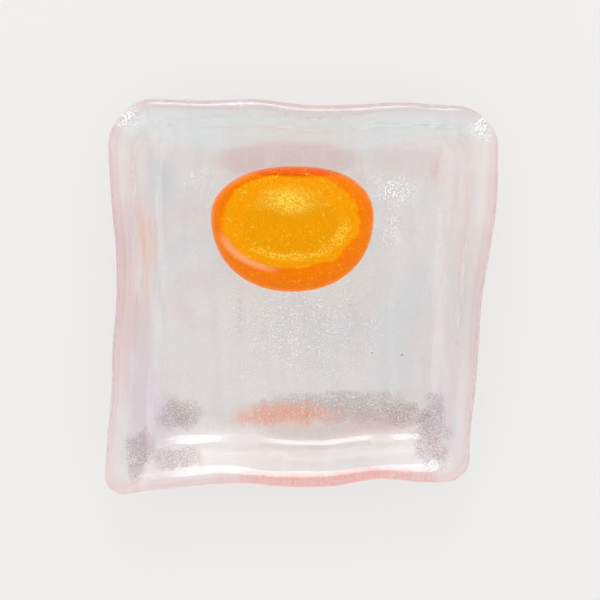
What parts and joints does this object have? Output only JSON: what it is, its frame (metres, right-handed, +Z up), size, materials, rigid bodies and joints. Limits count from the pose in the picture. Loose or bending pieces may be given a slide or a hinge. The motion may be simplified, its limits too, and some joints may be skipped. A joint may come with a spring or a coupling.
{
  "type": "glass fried egg dish",
  "caption": "Square slumped dish of clear fused glass with a thick wavy lip, and a domed orange glass yolk fused to its floor.",
  "frame": {"origin": "middle of the dish's flat underside, at the centre of the overall width and length", "axes": "+Z up through the open side, +Y towards the side that the yolk sits near, +X to the right as seen from above"},
  "size_m": [0.1318, 0.1333, 0.0202],
  "materials": {
    "clear_glass": "clear with a faint pink and pearly sheen, fire-polished above, finely stippled underneath",
    "orange_glass": "orange, translucent, glossy"
  },
  "bodies": {
    "root": {"dish": "clear_glass", "yolk": "orange_glass"}
  },
  "joints": []
}
